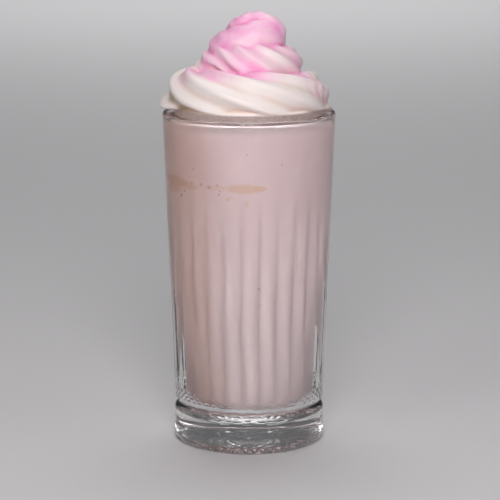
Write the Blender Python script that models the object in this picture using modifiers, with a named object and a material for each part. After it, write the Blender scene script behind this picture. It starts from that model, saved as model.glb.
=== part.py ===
"""A tall ribbed glass of vanilla milkshake under a piped swirl of whipped cream.

Metres, +Z up. The origin is the middle of the glass's foot, on the surface that it stands on.
Angles round the glass count from the left, -X, by way of the front, -Y.
"""

import math

import bmesh
import bpy
import numpy as np

MM = 0.001

# The glass's wall.
GLASS_HEIGHT = 153.4 * MM
RIM_RADIUS = 39.5 * MM
WALL_FOOT_RADIUS = 33.5 * MM  # the straight outer wall, carried down to the ground
LIP_RADIUS = 1.1 * MM  # half the wall's thickness at the rim
FLOOR_HEIGHT = 18.4 * MM  # the solid foot under the drink
CAVITY_FOOT_RADIUS = 18.0 * MM  # the inner wall, carried down to the floor
CAVITY_CORNER = 4.0 * MM

# The glass's foot: a plain heavy drum on a flat ring, hollowed a little underneath.
FOOT_RADIUS = 34.7 * MM
FOOT_CORNER = 3.2 * MM
FOOT_TOP = 14.8 * MM
FOOT_SHOULDER = 2.8 * MM
STAND_INNER = 26.5 * MM
STAND_OUTER = 31.5 * MM
PUNT_HEIGHT = 1.6 * MM

# The relief of the glass's wall.
WAIST_HEIGHT = 18.0 * MM  # the narrow ring between the foot's shoulder and the wall's rounded heel
WAIST_RADIUS = 31.5 * MM
HEEL_RADIUS = 2.6 * MM
RIBS = 28  # upright rounded ribs, with a narrow groove between two
GROOVE_ANGLE = 7.3  # degrees from the front to the nearest groove
STEPS_PER_RIB = 4
GROOVE_DEPTH = 0.42 * MM
RIB_BOTTOM = 27.2 * MM
RIB_TOP = 127.0 * MM
RIB_FULL = 98.0 * MM  # full depth below this height, fading above it
RIB_RINGS = 7
BAND_BOTTOM = 20.8 * MM  # two rows of low diamond studs between the heel and the ribs
BAND_ROWS = 4  # half-rows, from valley to peak
BAND_RELIEF = 0.12 * MM

# The drink.
FIT_GAP = 0.3 * MM
DRINK_LEVEL = GLASS_HEIGHT - 1.6 * MM
DRINK_STEPS = 56

# The cream: one rope from a star nozzle, laid round and inwards and up to a curled tip.
# Each stop is turns from the left, radius of the ring and height over the rim, radius of the rope
# (all in mm), and how far the nozzle's pattern has rolled round the rope, in turns.
ROPE_STOPS = (
    (-0.35, 24.5, 5.0, 8.0, 0.69),
    (0.00, 26.0, 8.8, 11.7, 0.27),
    (0.25, 25.0, 9.3, 11.8, -0.03),
    (0.50, 24.2, 6.2, 12.6, -0.30),
    (0.75, 24.6, 9.8, 11.4, -0.64),
    (1.00, 14.9, 20.2, 9.0, -1.02),
    (1.12, 12.8, 24.0, 8.2, -1.20),
    (1.25, 13.8, 23.4, 9.4, -1.41),
    (1.50, 15.3, 21.0, 9.4, -1.80),
    (1.75, 12.2, 25.0, 9.2, -2.20),
    (2.00, 9.4, 27.6, 9.4, -2.58),
    (2.25, 8.2, 32.4, 8.8, -2.85),
    (2.50, 8.2, 34.8, 9.0, -3.10),
    (2.75, 6.0, 35.6, 8.0, -3.35),
    (3.00, 3.6, 36.6, 6.5, -3.55),
    (3.20, 2.8, 39.4, 5.4, -3.70),
    (3.38, 3.2, 41.0, 4.6, -3.85),
    (3.42, 7.0, 41.0, 4.5, -3.95),
    (3.44, 11.0, 39.6, 4.4, -4.05),
    (3.46, 14.0, 36.0, 3.6, -4.15),
    (3.475, 14.8, 33.0, 2.0, -4.20),
)
ROPE_LOBES = 6
LOBE_DEPTH = 0.19  # of the rope's radius
LOBE_FADE = (1.0, 2.0, 0.35)  # the ridges grow shallower between these turns, to this share
LOBE_SKEW = 0.35  # how far each ridge leans towards its lower side
ROPE_SECTIONS = 400
ROPE_SIDES = 64
SETTLE_HEIGHT = 3.0 * MM  # below this height over the rim the cream has settled flatter
SETTLE_SHARE = 0.45
# The lowest ridge spills over the rim: angle from the front, angle on the rope, reach in mm, spread.
SPILLS = ((-92.0, -26.0, 5.0, 26.0), (88.0, -30.0, 4.8, 9.0))
SPILL_WIDTH = 18.0  # degrees round the rope
CORE_STOPS = ((34.0, -1.3), (34.4, 3.0), (24.0, 9.0), (15.0, 18.0), (9.0, 30.0), (3.0, 37.0))
CREAM_VOXEL = 1.3 * MM
CREAM_SMOOTHING = 2
CREAM_TRIANGLES = 4600


def clear_scene():
    for obj in list(bpy.data.objects):
        bpy.data.objects.remove(obj)


def make_collection(name):
    found = bpy.data.collections.new(name)
    bpy.context.scene.collection.children.link(found)
    return found


def make_material(name, colour, roughness, transmission=0.0, ior=1.45):
    material = bpy.data.materials.new(name)
    material.use_nodes = True
    shader = material.node_tree.nodes["Principled BSDF"]
    shader.inputs["Base Color"].default_value = (*colour, 1.0)
    shader.inputs["Roughness"].default_value = roughness
    shader.inputs["Metallic"].default_value = 0.0
    shader.inputs["Transmission Weight"].default_value = transmission
    shader.inputs["IOR"].default_value = ior
    material.diffuse_color = (*colour, 1.0)
    return material


def smoothstep(low, high, value):
    share = min(1.0, max(0.0, (value - low) / (high - low)))
    return share * share * (3.0 - 2.0 * share)


def wall_radius(height):
    """The outer wall before any cut: a straight taper."""
    return WALL_FOOT_RADIUS + (RIM_RADIUS - WALL_FOOT_RADIUS) * height / GLASS_HEIGHT


def cavity_radius(height):
    """The inner wall, straight from the floor to the rim."""
    share = (height - FLOOR_HEIGHT) / (GLASS_HEIGHT - FLOOR_HEIGHT)
    top = RIM_RADIUS - 2.0 * LIP_RADIUS
    return CAVITY_FOOT_RADIUS + (top - CAVITY_FOOT_RADIUS) * share


def arc(centre, radius, start, end, steps):
    """Points of a circle's arc in the (radius, height) plane, angles in degrees."""
    angles = [math.radians(start + (end - start) * k / steps) for k in range(steps + 1)]
    return [(centre[0] + radius * math.cos(a), centre[1] + radius * math.sin(a)) for a in angles]


def cavity_profile(gap, top):
    """The inner wall from its top down to the middle of the floor, moved inwards by a gap."""
    corner = CAVITY_CORNER - gap
    bend = FLOOR_HEIGHT + CAVITY_CORNER
    middle = (cavity_radius(bend) - CAVITY_CORNER, bend)
    return [(cavity_radius(top) - gap, top)] + arc(middle, corner, 0, -90, 4) + [(0.0, FLOOR_HEIGHT + gap)]


def glass_profile():
    """The glass's section, from the middle of its underside round the lip to the middle of its floor."""
    under = [(0.0, PUNT_HEIGHT), (STAND_INNER - PUNT_HEIGHT, PUNT_HEIGHT)]
    stand = [(STAND_INNER, 0.0), (STAND_OUTER, 0.0)]
    corner = arc((FOOT_RADIUS - FOOT_CORNER, FOOT_CORNER), FOOT_CORNER, -60, 0, 3)
    shoulder = arc((FOOT_RADIUS - FOOT_SHOULDER, FOOT_TOP), FOOT_SHOULDER, 0, 80, 2)
    waist = [(WAIST_RADIUS, WAIST_HEIGHT)]
    heel = arc((wall_radius(BAND_BOTTOM) - HEEL_RADIUS, BAND_BOTTOM), HEEL_RADIUS, -70, 0, 2)[:-1]
    band = [(wall_radius(z), z) for z in np.linspace(BAND_BOTTOM, RIB_BOTTOM, BAND_ROWS + 1)]
    ribs = [(wall_radius(z), z) for z in np.linspace(RIB_BOTTOM + MM, RIB_TOP, RIB_RINGS)]
    under_lip = GLASS_HEIGHT - 2.5 * LIP_RADIUS
    lip = [(wall_radius(under_lip), under_lip)]
    lip += arc((RIM_RADIUS - LIP_RADIUS, GLASS_HEIGHT - LIP_RADIUS), LIP_RADIUS, 0, 180, 4)
    inside = cavity_profile(0.0, GLASS_HEIGHT - 4.0 * LIP_RADIUS)
    return under + stand + corner + shoulder + waist + heel + band + ribs + lip + inside


def turned(name, profile, steps, collection, material):
    """A profile in the XZ plane turned about Z, as a closed mesh."""
    mesh = bpy.data.meshes.new(name + "_profile")
    mesh.from_pydata([(r, 0.0, z) for r, z in profile], [(k, k + 1) for k in range(len(profile) - 1)], [])
    sketch = bpy.data.objects.new(name, mesh)
    collection.objects.link(sketch)
    modify(sketch, "SCREW", axis="Z", steps=steps, render_steps=steps, use_merge_vertices=True,
           merge_threshold=0.01 * MM)
    close_mesh(sketch.data)
    sketch.data.materials.append(material)
    return sketch


def modify(piece, kind, **settings):
    """Adds one modifier to a mesh and applies it."""
    modifier = piece.modifiers.new(kind.title(), kind)
    for name, value in settings.items():
        setattr(modifier, name, value)
    bpy.context.view_layer.update()
    graph = bpy.context.evaluated_depsgraph_get()
    mesh = bpy.data.meshes.new_from_object(piece.evaluated_get(graph))
    mesh.name = piece.name
    piece.modifiers.clear()
    piece.data = mesh


def close_mesh(mesh):
    """Welds what meets on the axis, and points every face outwards."""
    work = bmesh.new()
    work.from_mesh(mesh)
    bmesh.ops.remove_doubles(work, verts=work.verts, dist=0.005 * MM)
    bmesh.ops.recalc_face_normals(work, faces=work.faces)
    work.to_mesh(mesh)
    work.free()


def groove_cut(rib, height):
    """How far a rounded rib falls back from the wall; a whole number of ribs is a groove."""
    if height < RIB_BOTTOM + 0.5 * MM:
        return 0.0
    off_middle = 2.0 * (rib % 1.0) - 1.0
    return GROOVE_DEPTH * off_middle ** 2 * (1.0 - smoothstep(RIB_FULL, RIB_TOP, height))


def band_cut(rib, height):
    """Small diamond studs in the band under the ribs: peaks and pits by turns."""
    row = (height - BAND_BOTTOM) * BAND_ROWS / (RIB_BOTTOM - BAND_BOTTOM)
    if not 0.5 < row < BAND_ROWS - 0.5:
        return 0.0
    column = round(rib * STEPS_PER_RIB)
    return BAND_RELIEF * (1.0 - math.cos(math.pi * (column + round(row))))


def cut_relief(mesh):
    """Turns the mesh so that a ring's points fall on the grooves, and cuts the ribs and the band."""
    groove = math.radians(GROOVE_ANGLE)
    for vertex in mesh.vertices:
        x, y, z = vertex.co
        radius = math.hypot(x, y)
        angle = math.atan2(y, x)
        if radius > cavity_radius(z) + MM and z > WAIST_HEIGHT:
            rib = angle * RIBS / math.tau
            radius -= groove_cut(rib, z) + band_cut(rib, z)
        vertex.co.x = radius * math.cos(angle + groove - math.pi / 2.0)
        vertex.co.y = radius * math.sin(angle + groove - math.pi / 2.0)


def make_glass(collection):
    material = make_material("clear_glass", (0.97, 0.98, 0.98), 0.02, transmission=1.0, ior=1.5)
    glass = turned("glass", glass_profile(), RIBS * STEPS_PER_RIB, collection, material)
    cut_relief(glass.data)
    glass.data.shade_smooth()
    glass.data.set_sharp_from_angle(angle=math.radians(25))
    return glass


def make_drink(collection):
    material = make_material("milkshake", (0.80, 0.66, 0.65), 0.35)
    profile = cavity_profile(FIT_GAP, DRINK_LEVEL)[::-1] + [(0.0, DRINK_LEVEL)]
    drink = turned("milkshake", profile, DRINK_STEPS, collection, material)
    drink.data.shade_smooth()
    drink.data.set_sharp_from_angle(angle=math.radians(50))
    return drink


def curve_through(keys, values, at):
    """A smooth curve through the stops: cubic pieces that share their slope where they meet."""
    slopes = np.gradient(values, keys)
    piece = np.clip(np.searchsorted(keys, at) - 1, 0, len(keys) - 2)
    width = keys[piece + 1] - keys[piece]
    s = np.clip((at - keys[piece]) / width, 0.0, 1.0)
    start, end = values[piece], values[piece + 1]
    bend = (s - 1.0) * slopes[piece] * width + s * slopes[piece + 1] * width
    return start + (end - start) * s * s * (3.0 - 2.0 * s) + s * (s - 1.0) * bend


def rope_state(turn):
    """Ring radius, height, rope radius and roll where the rope has made this many turns."""
    stops = np.array(ROPE_STOPS)
    ring, height, radius, roll = (curve_through(stops[:, 0], stops[:, k], turn) for k in range(1, 5))
    return ring * MM, height * MM + GLASS_HEIGHT, radius * MM, roll * math.tau


def rope_centre(turn):
    ring, height, _, _ = rope_state(turn)
    angle = math.pi + math.tau * turn
    return np.array((ring * math.cos(angle), ring * math.sin(angle), height))


def even_turns():
    """Turns at even steps along the rope."""
    turns = np.linspace(ROPE_STOPS[0][0], ROPE_STOPS[-1][0], 10 * ROPE_SECTIONS)
    path = np.array([rope_centre(turn) for turn in turns])
    lengths = np.insert(np.cumsum(np.linalg.norm(np.diff(path, axis=0), axis=1)), 0, 0.0)
    return np.interp(np.linspace(0.0, lengths[-1], ROPE_SECTIONS), lengths, turns)


def spill(turn, sides):
    """How far the lowest ridge reaches out over the rim, at this turn and round the rope."""
    from_front = (turn - 0.25) * 360.0
    reach = np.zeros(len(sides))
    for angle, side, length, spread in SPILLS:
        off_side = (np.degrees(sides) - side + 180.0) % 360.0 - 180.0
        reach += length * MM * np.exp(-(((from_front - angle) / spread) ** 2) - (off_side / SPILL_WIDTH) ** 2)
    return reach


def rope_section(turn):
    """The star-shaped ring of points where the rope has made this many turns."""
    _, _, radius, roll = rope_state(turn)
    centre = rope_centre(turn)
    along = rope_centre(turn + 0.004) - rope_centre(turn - 0.004)
    along /= np.linalg.norm(along)
    out = np.array((along[1], -along[0], 0.0))
    out /= np.linalg.norm(out)
    up = np.cross(out, along)
    sides = np.linspace(0.0, math.tau, ROPE_SIDES, endpoint=False)
    phase = ROPE_LOBES * (sides - roll)
    lobes = 0.5 + 0.5 * np.cos(phase + LOBE_SKEW * np.sin(phase))
    fade_start, fade_end, fade_share = LOBE_FADE
    depth = LOBE_DEPTH * (1.0 - (1.0 - fade_share) * smoothstep(fade_start, fade_end, turn))
    reach = radius * (1.0 - depth * (1.0 - lobes)) + spill(turn, sides)
    ring = centre + np.outer(reach * np.cos(sides), out) + np.outer(reach * np.sin(sides), up)
    settled = GLASS_HEIGHT + SETTLE_HEIGHT
    low = ring[:, 2] < settled
    ring[low, 2] = settled - (settled - ring[low, 2]) * SETTLE_SHARE
    return ring


def lofted(work, rings):
    """Closed rings of points joined into a tube with flat ends."""
    made = [[work.verts.new(point) for point in ring] for ring in rings]
    for low, high in zip(made, made[1:]):
        for k in range(len(low)):
            n = (k + 1) % len(low)
            work.faces.new((low[k], low[n], high[n], high[k]))
    work.faces.new(made[0][::-1])
    work.faces.new(made[-1])


def core_ring(radius, height):
    """A level ring inside the coils, which fills the hollow that they leave."""
    sides = np.linspace(0.0, math.tau, ROPE_SIDES, endpoint=False)
    level = np.full(ROPE_SIDES, height * MM + GLASS_HEIGHT)
    return np.stack((radius * MM * np.cos(sides), radius * MM * np.sin(sides), level), axis=1)


def make_cream(collection):
    material = make_material("whipped_cream", (0.93, 0.88, 0.85), 0.5)
    work = bmesh.new()
    lofted(work, [rope_section(turn) for turn in even_turns()])
    lofted(work, [core_ring(radius, height) for radius, height in CORE_STOPS])
    bmesh.ops.recalc_face_normals(work, faces=work.faces)
    mesh = bpy.data.meshes.new("whipped_cream")
    work.to_mesh(mesh)
    work.free()
    mesh.materials.append(material)
    cream = bpy.data.objects.new("whipped_cream", mesh)
    collection.objects.link(cream)
    modify(cream, "REMESH", mode="VOXEL", voxel_size=CREAM_VOXEL)
    modify(cream, "SMOOTH", factor=0.5, iterations=CREAM_SMOOTHING)
    lift = DRINK_LEVEL + FIT_GAP
    for vertex in cream.data.vertices:
        vertex.co.z = max(vertex.co.z, lift)
    modify(cream, "DECIMATE", ratio=CREAM_TRIANGLES / (2 * len(cream.data.polygons)))
    return cream


def main():
    clear_scene()
    parts = make_collection("vanilla_milkshake")
    make_glass(parts)
    make_drink(parts)
    make_cream(parts)


main()
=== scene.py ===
"""The looks of a vanilla milkshake in a tall ribbed glass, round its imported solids.

Metres, +Z up. Angles round the glass count from the front, -Y, towards the right, +X.
The rope of cream counts its turns from the left, -X, by way of the front.
"""

import math

import bpy
import numpy as np
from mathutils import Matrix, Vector


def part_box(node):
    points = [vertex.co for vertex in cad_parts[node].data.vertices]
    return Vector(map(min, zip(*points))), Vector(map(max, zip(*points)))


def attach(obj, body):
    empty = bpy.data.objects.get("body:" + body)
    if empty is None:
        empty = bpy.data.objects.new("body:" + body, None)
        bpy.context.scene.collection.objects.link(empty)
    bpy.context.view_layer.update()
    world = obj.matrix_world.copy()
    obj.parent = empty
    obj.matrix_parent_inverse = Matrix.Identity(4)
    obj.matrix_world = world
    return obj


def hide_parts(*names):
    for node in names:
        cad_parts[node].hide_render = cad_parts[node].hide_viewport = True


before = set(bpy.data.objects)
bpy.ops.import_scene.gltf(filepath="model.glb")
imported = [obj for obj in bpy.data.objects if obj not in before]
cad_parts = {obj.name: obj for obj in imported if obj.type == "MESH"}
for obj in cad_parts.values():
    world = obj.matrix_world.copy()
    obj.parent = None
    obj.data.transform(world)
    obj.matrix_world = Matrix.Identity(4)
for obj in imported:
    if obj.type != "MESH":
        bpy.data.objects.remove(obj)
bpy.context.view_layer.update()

MM = 0.001
NEAR = 0.1 * MM  # a point this near an edge belongs to it

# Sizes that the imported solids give.
GLASS_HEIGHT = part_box("glass")[1][2]
RIM_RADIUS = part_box("glass")[1][0]
DRINK_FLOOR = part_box("milkshake")[0][2]
DRINK_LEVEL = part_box("milkshake")[1][2]
FIT_GAP = 0.3 * MM  # what the solids leave between the drink and the glass

# The glass's wall, as the solids have it.
WALL_FOOT_RADIUS = 33.5 * MM
LIP_RADIUS = 1.1 * MM
FLOOR_HEIGHT = DRINK_FLOOR - FIT_GAP
CAVITY_FOOT_RADIUS = 18.0 * MM
CAVITY_CORNER = 4.0 * MM
FOOT_RADIUS = 34.7 * MM
FOOT_CORNER = 3.2 * MM
FOOT_TOP = 14.8 * MM
FOOT_SHOULDER = 2.8 * MM
STAND_INNER = 26.5 * MM
STAND_OUTER = 31.5 * MM
PUNT_HEIGHT = 1.6 * MM
WAIST_HEIGHT = 18.0 * MM
WAIST_RADIUS = 31.5 * MM
WAIST_ROUNDING = 0.3 * MM
HEEL_RADIUS = 2.6 * MM
WALL_LEAST = 1.0 * MM  # what lies this far outside the inner wall is the outer wall
SHARP_ANGLE = math.radians(14.0)
GLASS_COLOUR = (0.985, 0.99, 0.99)
GLASS_WAVES = 0.05  # strength of the bump that keeps the wall from looking too true
GLASS_WAVE_SCALE = (60.0, 60.0, 25.0)  # waves in a metre, along each axis

# Its relief, finer than the solids have it.
RIBS = 28
GROOVE_ANGLE = math.radians(7.3)
GROOVE_DEPTH = 0.42 * MM
RIB_BOTTOM = 27.2 * MM
RIB_TOP = 127.0 * MM
RIB_FULL = 108.0 * MM  # full depth below this height, fading up to the top of the ribs
RIB_RINGS = 30
RIB_STEPS = 12
BAND_BOTTOM = 20.8 * MM
BAND_ROWS = 4  # half-rows, from pit to peak
BAND_RELIEF = 0.12 * MM
BAND_RINGS = 33
HEEL_NOTCH = 0.35 * MM  # a small notch under each groove, where the heel begins
HEEL_NOTCH_HALF = 1.3 * MM  # half its height
NOTCHES = 56  # slanting cuts in the edge of the foot
NOTCH_DEPTH = 0.35 * MM
NOTCH_SLANT = 0.5  # of their spacing
NET_TURNS = 18  # diamonds in a ring of the net cut into the underside
NET_SPIRAL = 2.9  # how steeply its lines run outwards
NET_DEPTH = 0.58 * MM  # at its rim, and less towards its middle
NET_INNER = 4.0 * MM
NET_FADE = (0.90, 0.94)  # where it ends, as shares of the hollow's radius
NET_RINGS = 70

# The drink.
DRINK_BITE = 0.08 * MM  # how far it reaches into the wall, so that no air shows between them
DRINK_STEPS = 160
DRINK_TOP_RINGS = (8.0 * MM, 36.0 * MM, 15)  # radii from and to, and how many
DRINK_LUMPS = 0.15 * MM  # half the height of the lumps on top
DRINK_CLOUDS = 55.0  # patches of noise in a metre, and so are the other scales
DRINK_FROTH = 420.0
DRINK_LIGHT = (0.89, 0.74, 0.745)
DRINK_DARK = (0.83, 0.675, 0.685)
# Painted shade: the drink is coloured darker towards its floor.
DRINK_LOW_SHADE = (0.68, 0.555, 0.56)
DRINK_SHADE_HEIGHT = 75.0 * MM  # height over its floor up to which it is darker, painted shade that is deepest at its floor
DRINK_LEFT_SHADE = (0.80, 0.71, 0.64)  # painted shade, a warm darkening filter over its left side
DRINK_LEFT_SHADE_SPAN = (-0.95, -0.15)  # from full to none, as shares of its radius
DRINK_TAN = (0.75, 0.52, 0.39)
DRINK_BUBBLE = (0.40, 0.24, 0.19)
BUBBLE_STRENGTH = 0.6
# Tan stains on its side: angle from the front, height, half its width and height (mm), strength.
STAINS = (
    (-3.5, 123.2, 10.5, 3.0, 0.75),
    (8.0, 123.4, 4.0, 1.7, 0.7),
    (-67.0, 124.2, 13.0, 3.4, 0.75),
    (-70.0, 120.8, 9.0, 3.0, 0.5),
    (-50.0, 122.8, 8.0, 2.4, 0.6),
    (-26.0, 123.4, 7.0, 1.6, 0.35),
    (-1.5, 116.7, 1.1, 2.2, 0.5),
    (-14.0, 119.0, 2.5, 1.0, 0.3),
)
# Small dark bubbles: angle, height, radius (mm).
BUBBLES = (
    (-37.5, 124.3, 1.0), (-30.5, 123.3, 1.0), (-55.0, 120.3, 0.9), (-59.3, 117.8, 1.2),
    (-23.0, 120.4, 0.8), (-46.0, 124.6, 0.7), (7.5, 77.0, 0.7), (10.5, 76.2, 0.8),
    (12.0, 69.0, 0.5), (-1.5, 139.0, 0.6), (24.0, 134.0, 0.6), (-44.0, 131.0, 0.6),
    (-22.0, 121.9, 0.6), (-24.0, 124.6, 0.7), (-16.0, 118.2, 0.6),
)

# The cream: each stop is turns from the left, radius of the ring and height over the rim, radius of
# the rope (all in mm), and how far the nozzle's pattern has rolled round the rope, in turns.
ROPE_STOPS = (
    (-0.35, 24.5, 5.0, 8.0, 0.69),
    (0.00, 26.0, 8.8, 11.7, 0.27),
    (0.25, 25.0, 9.3, 11.8, -0.03),
    (0.50, 24.2, 6.2, 12.6, -0.30),
    (0.75, 24.6, 9.8, 11.4, -0.64),
    (1.00, 14.9, 20.2, 9.0, -1.02),
    (1.12, 12.8, 24.0, 8.2, -1.20),
    (1.25, 13.8, 23.4, 9.4, -1.41),
    (1.50, 15.3, 21.0, 9.4, -1.80),
    (1.75, 12.2, 25.0, 9.2, -2.20),
    (2.00, 9.4, 27.6, 9.4, -2.58),
    (2.25, 8.2, 32.4, 8.8, -2.85),
    (2.50, 8.2, 34.8, 9.0, -3.10),
    (2.75, 6.0, 35.6, 8.0, -3.35),
    (3.00, 3.6, 36.6, 6.5, -3.55),
    (3.20, 2.8, 39.4, 5.4, -3.70),
    (3.38, 3.2, 41.0, 4.6, -3.85),
    (3.42, 7.0, 41.0, 4.5, -3.95),
    (3.44, 11.0, 39.6, 4.4, -4.05),
    (3.46, 14.0, 36.0, 3.6, -4.15),
    (3.475, 14.8, 33.0, 2.0, -4.20),
)
FRONT_TURN = 0.25
ROPE_LOBES = 6
LOBE_DEPTH = 0.19  # of the rope's radius
LOBE_FADE = (1.0, 2.0, 0.35)  # the ridges grow shallower between these turns, to this share
LOBE_SKEW = 0.35  # how far each ridge leans towards its lower side
LOBE_SHARPNESS = 0.8  # below 1 the ridges are broad and the creases between them narrow
ROPE_SECTIONS = 1000
ROPE_SIDES = 120
ROPE_SAMPLES = 10  # for each section, where the rope's length is measured
TURN_STEP = 0.004  # to either side of a section, for the rope's direction there
SETTLE_HEIGHT = 3.0 * MM  # below this height over the rim the cream has settled flatter
SETTLE_SHARE = 0.45
# The lowest ridge spills over the rim: angle from the front, angle on the rope, reach in mm, spread.
SPILLS = ((-92.0, -26.0, 5.0, 26.0), (88.0, -30.0, 4.8, 9.0))
SPILL_WIDTH = 18.0  # degrees round the rope
# Small ripples: turn, side of the rope in degrees, how far each reaches, then their pitch and height.
RIPPLES = (0.50, 40.0, 0.09, 38.0, 4.5 * MM, 0.30 * MM)
# What fills the middle of the coils: its radius and its height over the rim (mm).
CORE_STOPS = ((34.0, -1.3), (34.4, 3.0), (24.0, 9.0), (15.0, 18.0), (9.0, 30.0), (3.0, 37.0))
CREAM_VOXEL = 0.5 * MM
CREAM_SMOOTHING = 4
# Where the cream is tinted pink: x, y and height over the rim, radius (mm), strength.
PINK_SPOTS = (
    (-1.0, -3.0, 39.0, 17.0, 0.75),
    (-15.0, -5.0, 29.0, 9.0, 0.65),
    (-25.0, -12.0, 19.5, 7.5, 0.70),
    (-14.0, -22.0, 20.0, 6.5, 0.75),
    (-5.0, -25.0, 19.0, 6.0, 0.75),
    (4.0, -25.0, 19.0, 6.0, 0.60),
    (12.0, -22.0, 19.5, 6.0, 0.35),
    (-4.0, -12.0, 37.0, 10.0, 0.40),
    (10.0, -8.0, 38.0, 4.0, 0.80),
    (0.0, -19.0, 26.0, 7.0, 0.30),
    (20.0, -8.0, 27.0, 9.0, 0.45),
    (13.0, -8.0, 34.0, 6.0, 0.30),
    (26.0, -12.0, 16.0, 9.0, 0.45),
    (33.0, -6.0, 8.0, 8.0, 0.25),
    (14.0, 14.0, 24.0, 11.0, 0.60),
    (-12.0, 16.0, 26.0, 10.0, 0.60),
    (-2.0, 24.0, 17.0, 9.0, 0.45),
)
# Where painted yellowish shade darkens the deep crease at its lower left, in the same way.
YELLOW_SHADE_SPOTS = (
    (-34.0, -12.0, 6.0, 4.0, 1.8),
    (-31.0, -17.0, 3.5, 4.5, 2.0),
    (-27.0, -22.0, 2.4, 4.5, 1.5),
)
HOLLOW_STEPS = 30  # rounds of smoothing, against which the creases are found
HOLLOW_DEPTH = 0.35 * MM  # a crease as deep as this is fully painted with beige shade
CREAM_CLOUDS = 160.0
CREAM_FROTH = 600.0
CREAM_GRAIN = 1500.0
CREAM_WHITE = (0.82, 0.735, 0.715)
# Painted shade for the creases.
CREAM_CREASE_SHADE = (0.70, 0.53, 0.47)
# Painted shade, yellowish brown, for the deep crease at the lower left.
CREAM_YELLOW_SHADE = (0.38, 0.27, 0.16)
CREAM_PINK = (0.89, 0.43, 0.66)
CREAM_DEEP_PINK = (0.83, 0.26, 0.50)
CREAM_FOAM_AND_SHADE = (0.43, 0.34, 0.325)  # its foot inside the rim, wetted by the drink, and darkened by painted shade under the lowest ridge
CREAM_SPECK = (0.33, 0.26, 0.24)
FOAM_AND_SHADE_HEIGHT = 2.9 * MM
PINK_UNEVEN = 1.1  # how far the clouds carry the tint up and down
PINK_CREASE_SHADE = 0.45  # what a crease adds to it, painted shade that deepens the pink

# The camera stands at the viewer's place.
CAMERA_PLACE = (0.475 * MM, -1.0, 0.28994)
CAMERA_TILT = math.radians(90.0 - 11.377)
CAMERA_LENS = 158.98
CAMERA_SENSOR = 36.0

# The studio. The lamp called back is a spot, and lights only the floor far behind the glass.
FLOOR_HALF = 12.0
FLOOR_COLOUR = (0.60, 0.59, 0.60)
WORLD_COLOUR = (0.5, 0.5, 0.52)
WORLD_STRENGTH = 0.2
WHITE = (1.0, 1.0, 1.0)
SPOT_ANGLE = math.radians(98.0)
MIDDLE = (0.0, 0.0, 0.6 * GLASS_HEIGHT)
# Each lamp: name, place, what it looks at, size, or 0 for a spot, watts, colour.
LAMPS = (
    ("key", (0.015, -1.14, 0.71), MIDDLE, 0.60, 12.2, (1.0, 0.985, 0.98)),
    ("overhead", (0.0, 0.7, 1.7), (0.0, 0.3, 0.0), 1.4, 13.0, WHITE),
    ("back", (0.0, 2.7, 2.2), (0.0, 2.8, 0.0), 0.0, 170.0, WHITE),
    ("left", (-0.85, -0.95, 0.5), MIDDLE, 0.34, 1.9, WHITE),
    ("right", (1.0, -0.45, 0.5), MIDDLE, 0.35, 0.7, WHITE),
)


def smoothstep(low, high, value):
    """0 below low, 1 above high, and smooth between them."""
    share = np.clip((value - low) / (high - low), 0.0, 1.0)
    return share * share * (3.0 - 2.0 * share)


# Nodes -------------------------------------------------------------------------------------------

def new_material(name, sockets):
    """A material with its nodes and its shader, whose sockets get these numbers and colours."""
    material = bpy.data.materials.new(name)
    material.use_nodes = True
    shader = material.node_tree.nodes["Principled BSDF"]
    for socket, value in sockets.items():
        shader.inputs[socket].default_value = value
    return material, material.node_tree, shader


def add(tree, kind, sockets=None, **settings):
    """A new node: settings are its properties, and a socket takes a value or another node's output."""
    made = tree.nodes.new(kind)
    for name, value in settings.items():
        setattr(made, name, value)
    for name, value in (sockets or {}).items():
        if isinstance(value, bpy.types.NodeSocket):
            tree.links.new(value, made.inputs[name])
        else:
            made.inputs[name].default_value = value
    return made


def blend_colours(tree, share, low, high, blend="MIX"):
    """Colour that goes from low to high with share, each a socket or a colour of three numbers."""
    mix = add(tree, "ShaderNodeMix", data_type="RGBA", blend_type=blend)
    for socket, value in zip((mix.inputs[0], mix.inputs[6], mix.inputs[7]), (share, low, high)):
        if isinstance(value, bpy.types.NodeSocket):
            tree.links.new(value, socket)
        elif isinstance(value, tuple):
            socket.default_value = (*value, 1.0)
        else:
            socket.default_value = value
    return mix.outputs[2]


def ramp(tree, share, low, high):
    """0 below low, 1 above high, and smooth between them."""
    made = add(tree, "ShaderNodeMapRange", {"Value": share, "From Min": low, "From Max": high},
               interpolation_type="SMOOTHSTEP")
    return made.outputs["Result"]


def calculate(tree, operation, *values):
    return add(tree, "ShaderNodeMath", dict(enumerate(values)), operation=operation).outputs[0]


def noise(tree, place, scale, detail=2.0, distortion=0.0):
    made = add(tree, "ShaderNodeTexNoise",
               {"Vector": place, "Scale": scale, "Detail": detail, "Distortion": distortion})
    return made.outputs["Fac"]


def kept(tree, name):
    """What store() has kept for each point."""
    return add(tree, "ShaderNodeAttribute", attribute_name=name).outputs["Fac"]


def bumpy(tree, shader, height, strength, distance):
    bump = add(tree, "ShaderNodeBump", {"Height": height, "Strength": strength, "Distance": distance})
    tree.links.new(bump.outputs["Normal"], shader.inputs["Normal"])


def place_of(tree, stretch=(1.0, 1.0, 1.0)):
    """The point's own place on the object, stretched along its axes."""
    where = add(tree, "ShaderNodeTexCoord").outputs["Object"]
    return add(tree, "ShaderNodeMapping", {"Vector": where, "Scale": stretch}).outputs["Vector"]


# Meshes ------------------------------------------------------------------------------------------

def arc(centre, radius, start, end, steps):
    """Points of a circle's arc in the (radius, height) plane, angles in degrees."""
    angles = [math.radians(start + (end - start) * k / steps) for k in range(steps + 1)]
    return [(centre[0] + radius * math.cos(a), centre[1] + radius * math.sin(a)) for a in angles]


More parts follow.
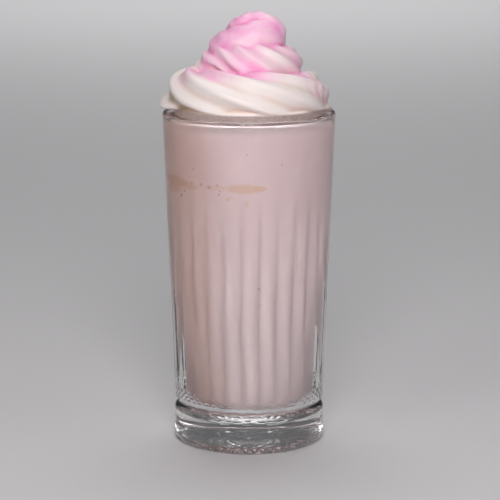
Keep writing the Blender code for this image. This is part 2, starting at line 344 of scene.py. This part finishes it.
def lathe(name, section, steps, relief=None):
    """A section turned about Z, from one point of the axis to another. relief moves its points."""
    section = np.array(section)
    angles = np.arange(steps) * math.tau / steps
    radius = np.repeat(section[:, :1], steps, axis=1)
    height = np.repeat(section[:, 1:], steps, axis=1)
    if relief:
        radius, height = relief(radius, height, angles[None, :])
    rings = np.stack((radius * np.sin(angles), -radius * np.cos(angles), height), axis=2)
    body = rings[1:-1].reshape(-1, 3)
    points = np.vstack((rings[0, :1], body, rings[-1, :1]))
    faces = []
    for ring in range(len(section) - 3):
        low = 1 + ring * steps
        for k in range(steps):
            n = (k + 1) % steps
            faces.append((low + k, low + n, low + steps + n, low + steps + k))
    last = 1 + (len(section) - 3) * steps
    for k in range(steps):
        n = (k + 1) % steps
        faces.append((0, 1 + n, 1 + k))
        faces.append((last + k, last + n, len(points) - 1))
    mesh = bpy.data.meshes.new(name)
    mesh.from_pydata(points.tolist(), [], faces)
    return show(name, mesh)


def add_object(name, data):
    made = bpy.data.objects.new(name, data)
    bpy.context.scene.collection.objects.link(made)
    return made


def show(name, mesh):
    piece = add_object(name, mesh)
    mesh.shade_smooth()
    return piece


def finish_piece(piece, node, material):
    """The piece stands for a node, rides with the object and has its own material."""
    piece.data.materials.append(material)
    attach(piece, "root")
    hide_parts(node)


# Glass -------------------------------------------------------------------------------------------

def wall_radius(height):
    return WALL_FOOT_RADIUS + (RIM_RADIUS - WALL_FOOT_RADIUS) * height / GLASS_HEIGHT


def cavity_radius(height):
    share = (height - FLOOR_HEIGHT) / (GLASS_HEIGHT - FLOOR_HEIGHT)
    top = RIM_RADIUS - 2.0 * LIP_RADIUS
    return CAVITY_FOOT_RADIUS + (top - CAVITY_FOOT_RADIUS) * share


def cavity_section(gap, top):
    """The inner wall from its top down to the middle of the floor, moved inwards by a gap."""
    bend = FLOOR_HEIGHT + CAVITY_CORNER
    middle = (cavity_radius(bend) - CAVITY_CORNER, bend)
    side = [(cavity_radius(z) - gap, z) for z in np.linspace(top, bend, 24)[:-1]]
    return side + arc(middle, CAVITY_CORNER - gap, 0, -90, 10) + [(0.0, FLOOR_HEIGHT + gap)]


def wall_section(low, high, rings):
    return [(wall_radius(z), z) for z in np.linspace(low, high, rings)]


def glass_section():
    """The glass's section, from the middle of its underside round the lip to the middle of its floor."""
    hollow = [(r, PUNT_HEIGHT) for r in np.linspace(0.0, STAND_INNER - PUNT_HEIGHT, NET_RINGS)]
    stand = [(STAND_INNER, 0.0), (STAND_OUTER, 0.0)]
    corner = arc((FOOT_RADIUS - FOOT_CORNER, FOOT_CORNER), FOOT_CORNER, -80, 0, 12)
    drum = [(FOOT_RADIUS, z) for z in np.linspace(FOOT_CORNER, FOOT_TOP, 6)[1:-1]]
    shoulder = arc((FOOT_RADIUS - FOOT_SHOULDER, FOOT_TOP), FOOT_SHOULDER, 0, 80, 16)
    waist = arc((WAIST_RADIUS + WAIST_ROUNDING, WAIST_HEIGHT), WAIST_ROUNDING, 240, 120, 10)
    heel = arc((wall_radius(BAND_BOTTOM) - HEEL_RADIUS, BAND_BOTTOM), HEEL_RADIUS, -70, 0, 16)[:-1]
    band = wall_section(BAND_BOTTOM, RIB_BOTTOM, BAND_RINGS)
    ribs = wall_section(RIB_BOTTOM, RIB_TOP, RIB_RINGS)[1:]
    upper = wall_section(RIB_TOP, GLASS_HEIGHT - 2.5 * LIP_RADIUS, 8)[1:]
    lip = arc((RIM_RADIUS - LIP_RADIUS, GLASS_HEIGHT - LIP_RADIUS), LIP_RADIUS, 0, 180, 16)
    inside = cavity_section(0.0, GLASS_HEIGHT - 4.0 * LIP_RADIUS)
    return hollow + stand + corner + drum + shoulder + waist + heel + band + ribs + upper + lip + inside


def triangle_wave(value):
    """0 at whole numbers, 1 halfway between them."""
    return 1.0 - np.abs(2.0 * (value % 1.0) - 1.0)


def glass_relief(radius, height, angle):
    """Cuts the ribs, the band of studs, the notched edge and the net underneath."""
    rib = (angle - GROOVE_ANGLE) * RIBS / math.tau
    on_wall = radius > cavity_radius(height) + WALL_LEAST
    off_middle = 2.0 * (rib % 1.0) - 1.0
    fade = 1.0 - smoothstep(RIB_FULL, RIB_TOP, height)
    ribbed = on_wall & (height > RIB_BOTTOM + NEAR) & (height < RIB_TOP)
    cut = np.where(ribbed, GROOVE_DEPTH * off_middle ** 2 * fade, 0.0)
    row = (height - BAND_BOTTOM) * BAND_ROWS / (RIB_BOTTOM - BAND_BOTTOM)
    banded = on_wall & (row >= 0.0) & (row <= BAND_ROWS)
    stud = np.abs(triangle_wave(2.0 * rib) + triangle_wave(0.5 * row) - 1.0)
    inside = np.minimum(1.0, 2.0 * np.minimum(row, BAND_ROWS - row))
    cut += np.where(banded, 2.0 * BAND_RELIEF * (1.0 - stud) * inside, 0.0)
    notch = np.maximum(0.0, 1.0 - np.abs(height - BAND_BOTTOM) / HEEL_NOTCH_HALF) * off_middle ** 6
    cut += np.where(on_wall, HEEL_NOTCH * notch, 0.0)
    corner = (height < FOOT_CORNER) & (radius > STAND_OUTER + NEAR)
    slant = height / FOOT_CORNER * NOTCH_SLANT
    notch = triangle_wave(angle * NOTCHES / math.tau + slant) * triangle_wave(height / FOOT_CORNER)
    cut += np.where(corner, NOTCH_DEPTH * notch, 0.0)
    under = (height < PUNT_HEIGHT + NEAR) & (radius < STAND_INNER - PUNT_HEIGHT + NEAR)
    turn = angle * NET_TURNS / math.tau
    spiral = NET_SPIRAL * np.log(np.maximum(radius, NET_INNER) / NET_INNER)
    net = np.maximum(triangle_wave(turn + spiral), triangle_wave(turn - spiral))
    share = radius / STAND_INNER
    reach = share * (1.0 - smoothstep(*NET_FADE, share))
    lift = np.where(under, NET_DEPTH * net * reach, 0.0)
    return radius - cut, height + lift


def glass_material():
    material, tree, shader = new_material("clear_glass_finish", {
        "Base Color": (*GLASS_COLOUR, 1.0), "Roughness": 0.0, "Transmission Weight": 1.0, "IOR": 1.5})
    waves = noise(tree, place_of(tree, GLASS_WAVE_SCALE), 1.0, detail=1.0)
    bumpy(tree, shader, waves, GLASS_WAVES, 1.0 * MM)
    return material


def make_glass():
    glass = lathe("ribbed_glass", glass_section(), RIBS * RIB_STEPS, glass_relief)
    glass.data.set_sharp_from_angle(angle=SHARP_ANGLE)
    finish_piece(glass, "glass", glass_material())


# Drink -------------------------------------------------------------------------------------------

def drink_relief(radius, height, angle):
    """The froth on top stands in low, uneven lumps."""
    top = height > DRINK_LEVEL - NEAR
    lumps = np.sin(7.0 * angle + radius / MM) * np.sin(13.0 * angle - 0.7 * radius / MM)
    return radius, height - np.where(top, DRINK_LUMPS * (1.0 + lumps), 0.0)


def patch_at(tree, angle, height, half_width, half_height):
    """1 in the middle of an oval patch on the drink's side, falling to 0 at its edge. Lengths in mm."""
    radius = cavity_radius(height * MM)
    turn = math.radians(angle)
    local = add(tree, "ShaderNodeMapping", {
        "Vector": add(tree, "ShaderNodeTexCoord").outputs["Object"],
        "Location": (radius * math.sin(turn), -radius * math.cos(turn), height * MM),
        "Rotation": (0.0, 0.0, turn),
        "Scale": (half_width * MM, half_width * MM, half_height * MM)}, vector_type="TEXTURE")
    return add(tree, "ShaderNodeTexGradient", {"Vector": local.outputs[0]},
               gradient_type="SPHERICAL").outputs["Fac"]


def drink_material():
    """Creamy pale mauve with soft streaks, painted shade darkening it towards its floor and over its
    left side, tan stains and a few dark bubbles.
    """
    material, tree, shader = new_material("milkshake_finish", {"Roughness": 0.35, "IOR": 1.35})
    clouds = noise(tree, place_of(tree, (1.0, 1.0, 0.45)), DRINK_CLOUDS, detail=3.0, distortion=0.4)
    froth = noise(tree, place_of(tree), DRINK_FROTH, detail=4.0)
    place = add(tree, "ShaderNodeSeparateXYZ", {"Vector": place_of(tree)})
    across, height = place.outputs["X"], place.outputs["Z"]
    colour = blend_colours(tree, ramp(tree, clouds, 0.35, 0.68), DRINK_DARK, DRINK_LIGHT)
    # Painted shade, darker towards the floor.
    above_low_shade = ramp(tree, height, DRINK_FLOOR, DRINK_FLOOR + DRINK_SHADE_HEIGHT)
    colour = blend_colours(tree, above_low_shade, DRINK_LOW_SHADE, colour)
    edge = calculate(tree, "ADD", froth, 0.5)
    for *patch, strength in STAINS:
        ragged = calculate(tree, "MULTIPLY", patch_at(tree, *patch), edge)
        share = calculate(tree, "MULTIPLY", ramp(tree, ragged, 0.05, 0.55), strength)
        colour = blend_colours(tree, share, colour, DRINK_TAN)
    for angle, up, size in BUBBLES:
        dot = ramp(tree, patch_at(tree, angle, up, size, size), 0.0, 0.8)
        share = calculate(tree, "MULTIPLY", dot, BUBBLE_STRENGTH)
        colour = blend_colours(tree, share, colour, DRINK_BUBBLE)
    # Painted shade: the left side is coloured warmer and darker.
    widening = (cavity_radius(DRINK_LEVEL) - cavity_radius(DRINK_FLOOR)) / (DRINK_LEVEL - DRINK_FLOOR)
    radius = calculate(tree, "MULTIPLY_ADD", height, widening, cavity_radius(0.0))
    sideways = calculate(tree, "DIVIDE", across, radius)
    left_shade = calculate(tree, "SUBTRACT", 1.0, ramp(tree, sideways, *DRINK_LEFT_SHADE_SPAN))
    colour = blend_colours(tree, left_shade, colour, DRINK_LEFT_SHADE, "MULTIPLY")
    tree.links.new(colour, shader.inputs["Base Color"])
    return material


def make_drink():
    section = [(0.0, DRINK_LEVEL)] + [(r, DRINK_LEVEL) for r in np.linspace(*DRINK_TOP_RINGS)]
    section += cavity_section(-DRINK_BITE, DRINK_LEVEL)
    drink = lathe("milkshake_fill", section[::-1], DRINK_STEPS, drink_relief)
    finish_piece(drink, "milkshake", drink_material())


# Cream -------------------------------------------------------------------------------------------

def modify(piece, kind, **settings):
    """Adds one modifier to a mesh and applies it."""
    modifier = piece.modifiers.new(kind.title(), kind)
    for name, value in settings.items():
        setattr(modifier, name, value)
    bpy.context.view_layer.update()
    graph = bpy.context.evaluated_depsgraph_get()
    mesh = bpy.data.meshes.new_from_object(piece.evaluated_get(graph))
    piece.modifiers.clear()
    piece.data = mesh


def curve_through(keys, values, at):
    """A smooth curve through the stops: cubic pieces that share their slope where they meet."""
    slopes = np.gradient(values, keys)
    piece = np.clip(np.searchsorted(keys, at) - 1, 0, len(keys) - 2)
    width = keys[piece + 1] - keys[piece]
    s = np.clip((at - keys[piece]) / width, 0.0, 1.0)
    start, end = values[piece], values[piece + 1]
    bend = (s - 1.0) * slopes[piece] * width + s * slopes[piece + 1] * width
    return start + (end - start) * s * s * (3.0 - 2.0 * s) + s * (s - 1.0) * bend


def rope_state(turn):
    """Ring radius, height, rope radius and roll where the rope has made this many turns."""
    stops = np.array(ROPE_STOPS)
    ring, height, radius, roll = (curve_through(stops[:, 0], stops[:, k], turn) for k in range(1, 5))
    return ring * MM, height * MM + GLASS_HEIGHT, radius * MM, roll * math.tau


def rope_centre(turn):
    ring, height, _, _ = rope_state(turn)
    angle = math.pi + math.tau * turn
    return np.stack((ring * np.cos(angle), ring * np.sin(angle), height), axis=-1)


def even_sides():
    return np.linspace(0.0, math.tau, ROPE_SIDES, endpoint=False)


def even_turns():
    """Turns at even steps along the rope."""
    turns = np.linspace(ROPE_STOPS[0][0], ROPE_STOPS[-1][0], ROPE_SAMPLES * ROPE_SECTIONS)
    path = rope_centre(turns)
    lengths = np.insert(np.cumsum(np.linalg.norm(np.diff(path, axis=0), axis=1)), 0, 0.0)
    return np.interp(np.linspace(0.0, lengths[-1], ROPE_SECTIONS), lengths, turns)


def degrees_off(sides, side):
    """How far each side of the rope is from this one, from -180 to 180 degrees."""
    return (np.degrees(sides) - side + 180.0) % 360.0 - 180.0


def spill(turn, sides):
    """How far the lowest ridge reaches out over the rim, at this turn and round the rope."""
    from_front = (turn - FRONT_TURN) * 360.0
    reach = np.zeros(len(sides))
    for angle, side, length, spread in SPILLS:
        along = ((from_front - angle) / spread) ** 2
        around = (degrees_off(sides, side) / SPILL_WIDTH) ** 2
        reach += length * MM * np.exp(-along - around)
    return reach


def ripple(turn, sides):
    """The small ripples across the lowest coil, on its right."""
    middle, side, turns, spread, pitch, height = RIPPLES
    inside = np.exp(-(((turn - middle) / turns) ** 2) - (degrees_off(sides, side) / spread) ** 2)
    along = (turn - middle) * math.tau * rope_state(middle)[0]
    return height * inside * np.sin(math.tau * along / pitch + 2.0 * sides)


def rope_section(turn):
    """The star-shaped ring of points where the rope has made this many turns."""
    _, _, radius, roll = rope_state(turn)
    along = rope_centre(turn + TURN_STEP) - rope_centre(turn - TURN_STEP)
    along /= np.linalg.norm(along)
    out = np.array((along[1], -along[0], 0.0))
    out /= np.linalg.norm(out)
    up = np.cross(out, along)
    sides = even_sides()
    phase = ROPE_LOBES * (sides - roll)
    lobes = (0.5 + 0.5 * np.cos(phase + LOBE_SKEW * np.sin(phase))) ** LOBE_SHARPNESS
    fade_start, fade_end, fade_share = LOBE_FADE
    depth = LOBE_DEPTH * (1.0 - (1.0 - fade_share) * smoothstep(fade_start, fade_end, turn))
    reach = radius * (1.0 - depth * (1.0 - lobes)) + spill(turn, sides) + ripple(turn, sides)
    ring = rope_centre(turn)
    ring = ring + np.outer(reach * np.cos(sides), out) + np.outer(reach * np.sin(sides), up)
    settled = GLASS_HEIGHT + SETTLE_HEIGHT
    low = ring[:, 2] < settled
    ring[low, 2] = settled - (settled - ring[low, 2]) * SETTLE_SHARE
    return ring


def core_rings():
    """Level rings inside the coils, which fill the hollow that they leave."""
    sides = even_sides()
    circle = np.stack((np.cos(sides), np.sin(sides), np.zeros(ROPE_SIDES)), axis=1)
    lift = np.array((0.0, 0.0, 1.0))
    return [circle * radius * MM + lift * (height * MM + GLASS_HEIGHT) for radius, height in CORE_STOPS]


def tube_faces(first, rings, sides):
    """Faces of a tube whose points start at first, with flat ends."""
    faces = [tuple(range(first + sides - 1, first - 1, -1))]
    for ring in range(rings - 1):
        low = first + ring * sides
        for k in range(sides):
            n = (k + 1) % sides
            faces.append((low + k, low + n, low + sides + n, low + sides + k))
    last = first + (rings - 1) * sides
    return faces + [tuple(range(last, last + sides))]


def points_of(mesh, name="co"):
    values = np.empty(3 * len(mesh.vertices))
    mesh.vertices.foreach_get(name, values)
    return values.reshape(-1, 3)


def store(mesh, name, values):
    """Keeps one number for each point of a mesh, for its material to read."""
    mesh.attributes.new(name, "FLOAT", "POINT").data.foreach_set("value", values.astype(np.float32))


def hollowness(mesh):
    """How deep each point lies in a crease: above 0 in a hollow, below 0 on a ridge."""
    points = points_of(mesh)
    edges = np.empty(2 * len(mesh.edges), dtype=int)
    mesh.edges.foreach_get("vertices", edges)
    first, second = edges.reshape(-1, 2).T
    count = np.bincount(edges, minlength=len(points))[:, None]
    smooth = points
    for _ in range(HOLLOW_STEPS):
        around = np.zeros_like(points)
        np.add.at(around, first, smooth[second])
        np.add.at(around, second, smooth[first])
        smooth = around / count
    return np.einsum("ij,ij->i", smooth - points, points_of(mesh, "normal"))


def tint_strength(points, spots):
    """How strongly soft round spots tint each point, from 0 to 1."""
    strength = np.zeros(len(points))
    for x, y, height, radius, amount in spots:
        off = (points - (x * MM, y * MM, height * MM + GLASS_HEIGHT)) / (radius * MM)
        strength += amount * np.exp(-(off ** 2).sum(axis=1))
    return 1.0 - np.exp(-strength)


def make_cream():
    rope = [rope_section(turn) for turn in even_turns()]
    core = core_rings()
    points = np.vstack(rope + core)
    faces = tube_faces(0, len(rope), ROPE_SIDES)
    faces += tube_faces(len(rope) * ROPE_SIDES, len(core), ROPE_SIDES)
    mesh = bpy.data.meshes.new("whipped_cream_swirl")
    mesh.from_pydata(points.tolist(), [], faces)
    cream = show("whipped_cream_swirl", mesh)
    modify(cream, "REMESH", mode="VOXEL", voxel_size=CREAM_VOXEL)
    modify(cream, "SMOOTH", factor=0.5, iterations=CREAM_SMOOTHING)
    mesh = cream.data
    mesh.shade_smooth()
    store(mesh, "pink", tint_strength(points_of(mesh), PINK_SPOTS))
    store(mesh, "yellow_shade", tint_strength(points_of(mesh), YELLOW_SHADE_SPOTS))
    store(mesh, "hollow", hollowness(mesh) / HOLLOW_DEPTH)
    finish_piece(cream, "whipped_cream", cream_material())


def cream_material():
    """White cream, painted beige shade in its creases and yellowish shade in its deep crease at the
    lower left, tinted pink in soft, uneven patches that painted shade deepens in the creases, and frothy
    at its foot, darkened there by painted shade under the lowest ridge.
    """
    material, tree, shader = new_material("whipped_cream_finish", {
        "Roughness": 0.48, "Subsurface Weight": 0.35, "Subsurface Radius": (1.0, 0.75, 0.6),
        "Subsurface Scale": 1.6 * MM})
    pink, yellow_shade, hollow = (kept(tree, name) for name in ("pink", "yellow_shade", "hollow"))
    place = place_of(tree)
    clouds = noise(tree, place, CREAM_CLOUDS, detail=4.0, distortion=0.6)
    grain = noise(tree, place, CREAM_GRAIN, detail=3.0)
    froth = noise(tree, place, CREAM_FROTH, detail=5.0)
    # Painted shade: beige in the creases.
    cream = blend_colours(tree, ramp(tree, hollow, 0.0, 1.0), CREAM_WHITE, CREAM_CREASE_SHADE)
    # Painted shade: yellowish in the deep crease at the lower left, mostly where the surface is hollow.
    yellow_shaded = calculate(tree, "MULTIPLY", yellow_shade, ramp(tree, hollow, -1.0, 0.3))
    cream = blend_colours(tree, yellow_shaded, cream, CREAM_YELLOW_SHADE)
    uneven = calculate(tree, "MULTIPLY_ADD", clouds, PINK_UNEVEN, 1.0 - 0.5 * PINK_UNEVEN)
    # Painted shade: the pink deepens in the creases.
    crease_shade = calculate(tree, "MULTIPLY", ramp(tree, hollow, -0.4, 1.2), PINK_CREASE_SHADE)
    tint = calculate(tree, "MULTIPLY", pink, calculate(tree, "ADD", uneven, crease_shade))
    # Real pink patches, their deepest pink partly painted crease shade.
    colour = blend_colours(tree, ramp(tree, tint, 0.05, 0.75), cream, CREAM_PINK)
    colour = blend_colours(tree, ramp(tree, tint, 0.55, 1.0), colour, CREAM_DEEP_PINK)
    # Its foot: froth wetted by the drink, partly painted shade under the lowest ridge.
    foam_and_shade = blend_colours(tree, ramp(tree, froth, 0.40, 0.75), CREAM_FOAM_AND_SHADE, CREAM_SPECK)
    height = add(tree, "ShaderNodeSeparateXYZ", {"Vector": place}).outputs["Z"]
    raised = ramp(tree, height, GLASS_HEIGHT + 0.6 * FOAM_AND_SHADE_HEIGHT, GLASS_HEIGHT + FOAM_AND_SHADE_HEIGHT)
    colour = blend_colours(tree, raised, foam_and_shade, colour)
    tree.links.new(colour, shader.inputs["Base Color"])
    bumpy(tree, shader, grain, 0.12, 0.4 * MM)
    return material


# Studio ------------------------------------------------------------------------------------------

def make_floor():
    corners = [(x * FLOOR_HALF, y * FLOOR_HALF, 0.0) for x, y in ((-1, -1), (1, -1), (1, 1), (-1, 1))]
    mesh = bpy.data.meshes.new("studio_floor")
    mesh.from_pydata(corners, [], [(0, 1, 2, 3)])
    floor = show("studio_floor", mesh)
    material, _, _ = new_material("pale_floor", {"Base Color": (*FLOOR_COLOUR, 1.0), "Roughness": 0.6})
    mesh.materials.append(material)


def make_light(name, place, aim, size, power, colour):
    """A round lamp, or without a size a spot that lights only what lies ahead of it."""
    lamp = bpy.data.lights.new(name, "AREA" if size else "SPOT")
    if size:
        lamp.shape = "DISK"
        lamp.size = size
    else:
        lamp.spot_size = SPOT_ANGLE
        lamp.spot_blend = 1.0
    lamp.energy = power
    lamp.color = colour
    light = add_object(name, lamp)
    light.location = place
    light.rotation_euler = (Vector(aim) - light.location).to_track_quat("-Z", "Y").to_euler()


def make_studio():
    """The floor, the lamps and the dim light all round."""
    make_floor()
    for lamp in LAMPS:
        make_light(*lamp)
    world = bpy.data.worlds.new("studio")
    world.use_nodes = True
    sky = world.node_tree.nodes["Background"]
    sky.inputs["Color"].default_value = (*WORLD_COLOUR, 1.0)
    sky.inputs["Strength"].default_value = WORLD_STRENGTH
    scene = bpy.context.scene
    scene.world = world
    scene.view_settings.view_transform = "Standard"
    scene.cycles.blur_glossy = 0.0  # keeps the light that the ribs gather on the drink sharp


def make_camera():
    lens = bpy.data.cameras.new("camera")
    lens.lens = CAMERA_LENS
    lens.sensor_width = CAMERA_SENSOR
    camera = add_object("camera", lens)
    camera.location = CAMERA_PLACE
    camera.rotation_euler = (CAMERA_TILT, 0.0, 0.0)
    bpy.context.scene.camera = camera


make_studio()
make_camera()
make_glass()
make_drink()
make_cream()
